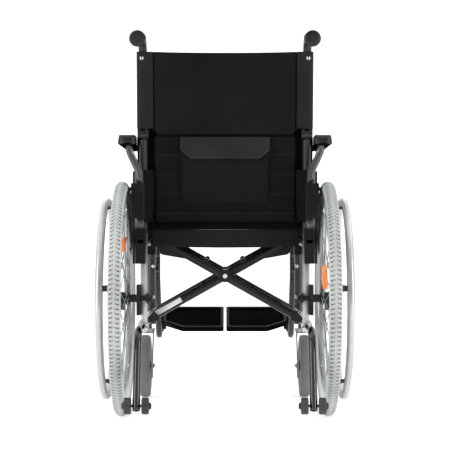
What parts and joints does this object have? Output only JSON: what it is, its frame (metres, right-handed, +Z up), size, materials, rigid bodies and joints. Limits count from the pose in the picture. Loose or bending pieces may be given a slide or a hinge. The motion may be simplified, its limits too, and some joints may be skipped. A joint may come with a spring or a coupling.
{
  "type": "wheelchair",
  "caption": "Folding self-propelled wheelchair with cross brace, swing-away footrests, flip-back armrests and anti-tippers",
  "frame": {"origin": "on the floor, midway between the sides and midway along the overall length", "axes": "+Y is forwards, +X is the sitter's right, +Z is up"},
  "size_m": [0.64, 1.07, 0.9983],
  "materials": {
    "axle_steel": "blackened steel",
    "black_hub": "satin black",
    "black_nylon": "black woven nylon",
    "black_plastic": "fine textured black plastic",
    "black_plate": "satin black powder coat",
    "black_rim": "matt black moulded nylon",
    "black_tube": "satin black powder coat",
    "bolt_steel": "bright zinc plated steel",
    "box_plastic": "fine textured black plastic",
    "bracket_alloy": "bent alloy plate with bright edges",
    "button_plastic": "black",
    "caster_rubber": "matt mid grey rubber",
    "clamp_plastic": "black moulded clamp",
    "dark_frame": "satin charcoal powder coat",
    "dark_tube": "satin black powder coat",
    "flap_nylon": "black woven nylon with a bound edge",
    "footplate_plastic": "matt charcoal moulded plastic",
    "fork_alloy": "satin cast alloy",
    "gloss_black_tube": "gloss black",
    "grip_rubber": "matt black ribbed rubber",
    "hanger_tube": "satin charcoal powder coat",
    "lever_steel": "black lever with a rubber knob",
    "pad_foam": "black polyurethane skin foam",
    "panel_plastic": "black moulded sheet",
    "push_rim_steel": "satin silver",
    "rim_alloy": "satin silver alloy",
    "roller_rubber": "dark rubber",
    "seat_nylon": "black padded nylon",
    "silver_frame": "satin silver paint over alloy tube",
    "spoke_steel": "bright drawn steel",
    "tyre_rubber": "matt light grey rubber with a chevron tread"
  },
  "bodies": {
    "left_frame": {"rear_frame_left": "silver_frame", "front_frame_left": "dark_frame", "axle_left": "axle_steel", "axle_plate_left": "black_plate", "arm_socket_left": "black_plastic", "lock_clamp_left": "clamp_plastic", "back_lower": "black_nylon", "back_pocket": "black_nylon", "pocket_flap": "flap_nylon"},
    "right_frame": {"rear_frame_right": "silver_frame", "front_frame_right": "dark_frame", "axle_right": "axle_steel", "axle_plate_right": "black_plate", "arm_socket_right": "black_plastic", "lock_clamp_right": "clamp_plastic"},
    "brace_a": {"cross_arm_a": "black_tube", "cross_bolts": "bolt_steel", "seat_sling": "seat_nylon"},
    "brace_b": {"cross_arm_b": "black_tube"},
    "upper_back_left": {"upper_cane_left": "dark_tube", "hand_grip_left": "grip_rubber", "back_upper": "black_nylon"},
    "upper_back_right": {"upper_cane_right": "dark_tube", "hand_grip_right": "grip_rubber"},
    "wheel_left": {"tyre_left": "tyre_rubber", "wheel_rim_left": "rim_alloy", "spokes_left": "spoke_steel", "hub_left": "black_hub", "push_rim_left": "push_rim_steel"},
    "caster_left": {"caster_fork_left": "fork_alloy"},
    "caster_wheel_left": {"caster_tyre_left": "caster_rubber", "caster_rim_left": "black_rim"},
    "footrest_left": {"footrest_hanger_left": "hanger_tube"},
    "footplate_left": {"footplate_left": "footplate_plastic"},
    "anti_tipper_left": {"anti_tip_tube_left": "gloss_black_tube"},
    "anti_tip_rollers_left": {"anti_tip_wheels_left": "roller_rubber"},
    "armrest_left": {"arm_post_left": "box_plastic", "side_panel_left": "panel_plastic"},
    "arm_top_left": {"arm_bracket_left": "bracket_alloy", "arm_pad_left": "pad_foam"},
    "arm_button_left": {"height_button_left": "button_plastic"},
    "wheel_lock_left": {"lock_lever_left": "lever_steel"},
    "wheel_right": {"tyre_right": "tyre_rubber", "wheel_rim_right": "rim_alloy", "spokes_right": "spoke_steel", "hub_right": "black_hub", "push_rim_right": "push_rim_steel"},
    "caster_right": {"caster_fork_right": "fork_alloy"},
    "caster_wheel_right": {"caster_tyre_right": "caster_rubber", "caster_rim_right": "black_rim"},
    "footrest_right": {"footrest_hanger_right": "hanger_tube"},
    "footplate_right": {"footplate_right": "footplate_plastic"},
    "anti_tipper_right": {"anti_tip_tube_right": "gloss_black_tube"},
    "anti_tip_rollers_right": {"anti_tip_wheels_right": "roller_rubber"},
    "armrest_right": {"arm_post_right": "box_plastic", "side_panel_right": "panel_plastic"},
    "arm_top_right": {"arm_bracket_right": "bracket_alloy", "arm_pad_right": "pad_foam"},
    "arm_button_right": {"height_button_right": "button_plastic"},
    "wheel_lock_right": {"lock_lever_right": "lever_steel"}
  },
  "joints": [
    {"name": "fold", "type": "hinge", "parent": "left_frame", "child": "brace_a", "pos_m": [-0.19, -0.01149, 0.257], "axis": [0, -1, 0], "range_deg": [0, 50], "deforming": ["seat_sling", "back_lower", "back_pocket", "pocket_flap", "back_upper"]},
    {"name": "brace_cross", "type": "hinge", "parent": "brace_a", "child": "brace_b", "pos_m": [0, -0.01149, 0.364], "axis": [0, -1, 0], "range_deg": [-100, 0]},
    {"name": "right_frame_pivot", "type": "hinge", "parent": "brace_b", "child": "right_frame", "pos_m": [0.19, -0.01149, 0.257], "axis": [0, -1, 0], "range_deg": [0, 50]},
    {"name": "back_fold_left", "type": "hinge", "parent": "left_frame", "child": "upper_back_left", "pos_m": [-0.2145, -0.21535, 0.739], "axis": [-1, 0, 0], "range_deg": [-95, 0]},
    {"name": "wheel_spin_left", "type": "hinge", "parent": "left_frame", "child": "wheel_left", "pos_m": [-0.27, -0.20549, 0.307], "axis": [1, 0, 0], "continuous": true},
    {"name": "caster_swivel_left", "type": "hinge", "parent": "left_frame", "child": "caster_left", "pos_m": [-0.231, 0.24451, 0.197], "axis": [0, 0, 1], "continuous": true},
    {"name": "caster_spin_left", "type": "hinge", "parent": "caster_left", "child": "caster_wheel_left", "pos_m": [-0.231, 0.19851, 0.09], "axis": [1, 0, 0], "continuous": true},
    {"name": "footrest_swing_left", "type": "hinge", "parent": "left_frame", "child": "footrest_left", "pos_m": [-0.2, 0.23151, 0.366], "axis": [0, 0, 1], "range_deg": [0, 90]},
    {"name": "footplate_flip_left", "type": "hinge", "parent": "footrest_left", "child": "footplate_left", "pos_m": [-0.2, 0.39164, 0.1619], "axis": [0, -0.9397, -0.342], "range_deg": [0, 110]},
    {"name": "anti_tipper_turn_left", "type": "hinge", "parent": "left_frame", "child": "anti_tipper_left", "pos_m": [-0.2145, -0.22749, 0.238], "axis": [0, -1, 0], "range_deg": [0, 180]},
    {"name": "anti_tip_spin_left", "type": "hinge", "parent": "anti_tipper_left", "child": "anti_tip_rollers_left", "pos_m": [-0.2145, -0.51449, 0.062], "axis": [1, 0, 0], "continuous": true},
    {"name": "arm_flip_left", "type": "hinge", "parent": "left_frame", "child": "armrest_left", "pos_m": [-0.2145, -0.23599, 0.466], "axis": [1, 0, 0], "range_deg": [0, 80]},
    {"name": "arm_height_left", "type": "slide", "parent": "armrest_left", "child": "arm_top_left", "axis": [0, 0, 1], "range_m": [0, 0.05]},
    {"name": "arm_button_left", "type": "slide", "parent": "armrest_left", "child": "arm_button_left", "axis": [1, 0, 0], "range_m": [0, 0.003], "stiffness_N_per_m": 300, "springref_m": -0.002},
    {"name": "wheel_lock_left", "type": "hinge", "parent": "left_frame", "child": "wheel_lock_left", "pos_m": [-0.246, 0.13251, 0.424], "axis": [1, 0, 0], "range_deg": [0, 16]},
    {"name": "back_fold_right", "type": "hinge", "parent": "right_frame", "child": "upper_back_right", "pos_m": [0.2145, -0.21535, 0.739], "axis": [-1, 0, 0], "range_deg": [-95, 0]},
    {"name": "wheel_spin_right", "type": "hinge", "parent": "right_frame", "child": "wheel_right", "pos_m": [0.27, -0.20549, 0.307], "axis": [1, 0, 0], "continuous": true},
    {"name": "caster_swivel_right", "type": "hinge", "parent": "right_frame", "child": "caster_right", "pos_m": [0.231, 0.24451, 0.197], "axis": [0, 0, 1], "continuous": true},
    {"name": "caster_spin_right", "type": "hinge", "parent": "caster_right", "child": "caster_wheel_right", "pos_m": [0.231, 0.19851, 0.09], "axis": [1, 0, 0], "continuous": true},
    {"name": "footrest_swing_right", "type": "hinge", "parent": "right_frame", "child": "footrest_right", "pos_m": [0.2, 0.23151, 0.366], "axis": [0, 0, -1], "range_deg": [0, 90]},
    {"name": "footplate_flip_right", "type": "hinge", "parent": "footrest_right", "child": "footplate_right", "pos_m": [0.2, 0.39164, 0.1619], "axis": [0, 0.9397, 0.342], "range_deg": [0, 110]},
    {"name": "anti_tipper_turn_right", "type": "hinge", "parent": "right_frame", "child": "anti_tipper_right", "pos_m": [0.2145, -0.22749, 0.238], "axis": [0, 1, 0], "range_deg": [0, 180]},
    {"name": "anti_tip_spin_right", "type": "hinge", "parent": "anti_tipper_right", "child": "anti_tip_rollers_right", "pos_m": [0.2145, -0.51449, 0.062], "axis": [1, 0, 0], "continuous": true},
    {"name": "arm_flip_right", "type": "hinge", "parent": "right_frame", "child": "armrest_right", "pos_m": [0.2145, -0.23599, 0.466], "axis": [1, 0, 0], "range_deg": [0, 80]},
    {"name": "arm_height_right", "type": "slide", "parent": "armrest_right", "child": "arm_top_right", "axis": [0, 0, 1], "range_m": [0, 0.05]},
    {"name": "arm_button_right", "type": "slide", "parent": "armrest_right", "child": "arm_button_right", "axis": [-1, 0, 0], "range_m": [0, 0.003], "stiffness_N_per_m": 300, "springref_m": -0.002},
    {"name": "wheel_lock_right", "type": "hinge", "parent": "right_frame", "child": "wheel_lock_right", "pos_m": [0.246, 0.13251, 0.424], "axis": [1, 0, 0], "range_deg": [0, 16]}
  ],
  "couplings": [
    {"joint": "brace_cross", "follows": "fold", "ratio": -2},
    {"joint": "right_frame_pivot", "follows": "fold", "ratio": 1},
    {"joint": "footplate_flip_left", "follows": "fold", "ratio": 2.2},
    {"joint": "footplate_flip_right", "follows": "fold", "ratio": 2.2},
    {"joint": "back_fold_right", "follows": "back_fold_left", "ratio": 1}
  ]
}
